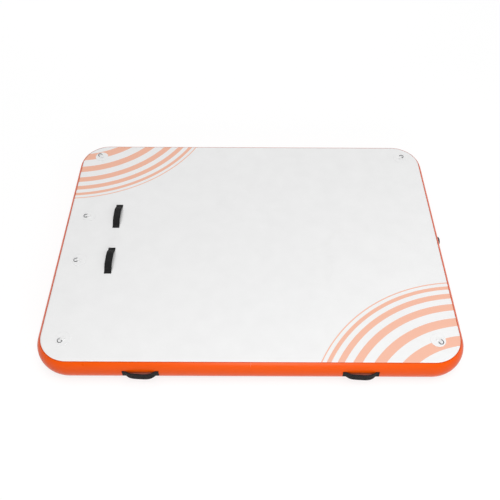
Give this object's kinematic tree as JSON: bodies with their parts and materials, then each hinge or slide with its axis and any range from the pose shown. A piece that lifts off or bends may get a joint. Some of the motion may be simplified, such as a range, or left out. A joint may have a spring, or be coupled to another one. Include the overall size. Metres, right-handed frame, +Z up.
{
  "type": "inflatable dock platform",
  "caption": "Flat inflatable dock: white deck and base held by threads, bulged orange side band, webbing handles, D-rings and an air valve.",
  "frame": {"origin": "centre of the dock's underside, on the surface that it lies on; the valve stands out past the end wall and doesn't shift it", "axes": "+X along the length towards the end with the valve, +Y across the width to the back, +Z up out of the deck; the deck handles and the ladder rings are at the -X end"},
  "size_m": [2.4499, 1.882, 0.1828],
  "materials": {
    "white_pvc": "smooth PVC coating with a soft sheen",
    "orange_pvc": "smooth PVC coating with a soft sheen",
    "black_webbing": "woven polyester webbing, matt",
    "white_yarn": "undyed polyester cloth and yarn",
    "stainless_steel": "polished stainless steel wire",
    "black_plastic": "moulded, fine grain",
    "grey_plastic": "moulded, smooth",
    "black_rubber": "moulded rubber"
  },
  "bodies": {
    "dock": {"band_join_back": "orange_pvc", "band_join_front": "orange_pvc", "band_join_left": "orange_pvc", "band_join_right_back": "orange_pvc", "band_join_right_front": "orange_pvc", "base_sheet": "white_pvc", "d_ring_back_left_patch": "white_pvc", "d_ring_back_left_tab": "white_pvc", "d_ring_back_right_patch": "white_pvc", "d_ring_back_right_tab": "white_pvc", "d_ring_front_left_patch": "white_pvc", "d_ring_front_left_tab": "white_pvc", "d_ring_front_right_patch": "white_pvc", "d_ring_front_right_tab": "white_pvc", "d_ring_ladder_back_patch": "white_pvc", "d_ring_ladder_back_tab": "white_pvc", "d_ring_ladder_front_patch": "white_pvc", "d_ring_ladder_front_tab": "white_pvc", "deck_handle_back_end_1": "black_webbing", "deck_handle_back_end_2": "black_webbing", "deck_handle_front_end_1": "black_webbing", "deck_handle_front_end_2": "black_webbing", "deck_sheet": "white_pvc", "drop_stitch_core": "white_yarn", "side_band_back_left": "orange_pvc", "side_band_back_right": "orange_pvc", "side_band_front_left": "orange_pvc", "side_band_front_right": "orange_pvc", "side_band_valve": "orange_pvc", "side_handle_back_left_end_1": "black_webbing", "side_handle_back_left_end_2": "black_webbing", "side_handle_back_right_end_1": "black_webbing", "side_handle_back_right_end_2": "black_webbing", "side_handle_front_left_end_1": "black_webbing", "side_handle_front_left_end_2": "black_webbing", "side_handle_front_right_end_1": "black_webbing", "side_handle_front_right_end_2": "black_webbing", "valve_body": "black_plastic", "valve_gasket": "black_rubber", "valve_nut": "grey_plastic", "valve_spring": "stainless_steel"},
    "deck_handle_back": {"deck_handle_back_grip": "black_webbing"},
    "deck_handle_front": {"deck_handle_front_grip": "black_webbing"},
    "side_handle_back_left": {"side_handle_back_left_grip": "black_webbing"},
    "side_handle_back_right": {"side_handle_back_right_grip": "black_webbing"},
    "side_handle_front_left": {"side_handle_front_left_grip": "black_webbing"},
    "side_handle_front_right": {"side_handle_front_right_grip": "black_webbing"},
    "d_ring_back_left": {"d_ring_back_left": "stainless_steel"},
    "d_ring_back_right": {"d_ring_back_right": "stainless_steel"},
    "d_ring_front_left": {"d_ring_front_left": "stainless_steel"},
    "d_ring_front_right": {"d_ring_front_right": "stainless_steel"},
    "d_ring_ladder_back": {"d_ring_ladder_back": "stainless_steel"},
    "d_ring_ladder_front": {"d_ring_ladder_front": "stainless_steel"},
    "valve_plunger": {"valve_disc": "grey_plastic", "valve_seal": "black_rubber"},
    "valve_stem": {"valve_stem": "grey_plastic"},
    "cap_collar": {"cap_tether": "black_rubber"},
    "valve_cap": {"cap_seal": "black_rubber", "valve_cap": "black_plastic"}
  },
  "joints": [
    {"name": "deck_handle_back_lean", "type": "hinge", "parent": "dock", "child": "deck_handle_back", "pos_m": [-0.874, 0.197, 0.15455], "axis": [0, 1, 0], "range_deg": [-25, 25], "stiffness_Nm_per_rad": 0.3},
    {"name": "deck_handle_front_lean", "type": "hinge", "parent": "dock", "child": "deck_handle_front", "pos_m": [-0.874, -0.176, 0.15455], "axis": [0, 1, 0], "range_deg": [-25, 25], "stiffness_Nm_per_rad": 0.3},
    {"name": "side_handle_back_left_lean", "type": "hinge", "parent": "dock", "child": "side_handle_back_left", "pos_m": [-0.611, 0.91755, 0.076], "axis": [-1, 0, 0], "range_deg": [-25, 25], "stiffness_Nm_per_rad": 0.3},
    {"name": "side_handle_back_right_lean", "type": "hinge", "parent": "dock", "child": "side_handle_back_right", "pos_m": [0.614, 0.91755, 0.076], "axis": [-1, 0, 0], "range_deg": [-25, 25], "stiffness_Nm_per_rad": 0.3},
    {"name": "side_handle_front_left_lean", "type": "hinge", "parent": "dock", "child": "side_handle_front_left", "pos_m": [-0.611, -0.91755, 0.076], "axis": [1, 0, 0], "range_deg": [-25, 25], "stiffness_Nm_per_rad": 0.3},
    {"name": "side_handle_front_right_lean", "type": "hinge", "parent": "dock", "child": "side_handle_front_right", "pos_m": [0.614, -0.91755, 0.076], "axis": [1, 0, 0], "range_deg": [-25, 25], "stiffness_Nm_per_rad": 0.3},
    {"name": "d_ring_back_left_swing", "type": "hinge", "parent": "dock", "child": "d_ring_back_left", "pos_m": [-1.0744, 0.7844, 0.1572], "axis": [0.7071, 0.7071, 0], "range_deg": [0, 180.4]},
    {"name": "d_ring_back_right_swing", "type": "hinge", "parent": "dock", "child": "d_ring_back_right", "pos_m": [1.0744, 0.7844, 0.1572], "axis": [0.7071, -0.7071, 0], "range_deg": [0, 180.4]},
    {"name": "d_ring_front_left_swing", "type": "hinge", "parent": "dock", "child": "d_ring_front_left", "pos_m": [-1.0674, -0.7484, 0.1572], "axis": [-0.7071, 0.7071, 0], "range_deg": [0, 180.4]},
    {"name": "d_ring_front_right_swing", "type": "hinge", "parent": "dock", "child": "d_ring_front_right", "pos_m": [1.0674, -0.7484, 0.1572], "axis": [-0.7071, -0.7071, 0], "range_deg": [0, 180.4]},
    {"name": "d_ring_ladder_back_swing", "type": "hinge", "parent": "dock", "child": "d_ring_ladder_back", "pos_m": [-1.07625, 0.199, 0.1572], "axis": [0, 1, 0], "range_deg": [0, 180.4]},
    {"name": "d_ring_ladder_front_swing", "type": "hinge", "parent": "dock", "child": "d_ring_ladder_front", "pos_m": [-1.07625, -0.173, 0.1572], "axis": [0, 1, 0], "range_deg": [0, 180.4]},
    {"name": "valve_push", "type": "slide", "parent": "dock", "child": "valve_plunger", "axis": [-1, 0, 0], "range_m": [0, 0.0045], "stiffness_N_per_m": 600, "springref_m": -0.004, "deforming": ["valve_spring"]},
    {"name": "valve_lock_turn", "type": "hinge", "parent": "valve_plunger", "child": "valve_stem", "pos_m": [1.22, 0.058, 0.076], "axis": [1, 0, 0], "range_deg": [0, 90]},
    {"name": "cap_lift", "type": "slide", "parent": "dock", "child": "cap_collar", "axis": [1, 0, 0], "range_m": [0, 0.0061], "deforming": ["cap_tether"]},
    {"name": "cap_turn", "type": "hinge", "parent": "cap_collar", "child": "valve_cap", "pos_m": [1.22, 0.058, 0.076], "axis": [1, 0, 0], "range_deg": [0, 720]}
  ],
  "couplings": [
    {"joint": "cap_lift", "follows": "cap_turn", "m_per_rad": 0.00047746}
  ]
}
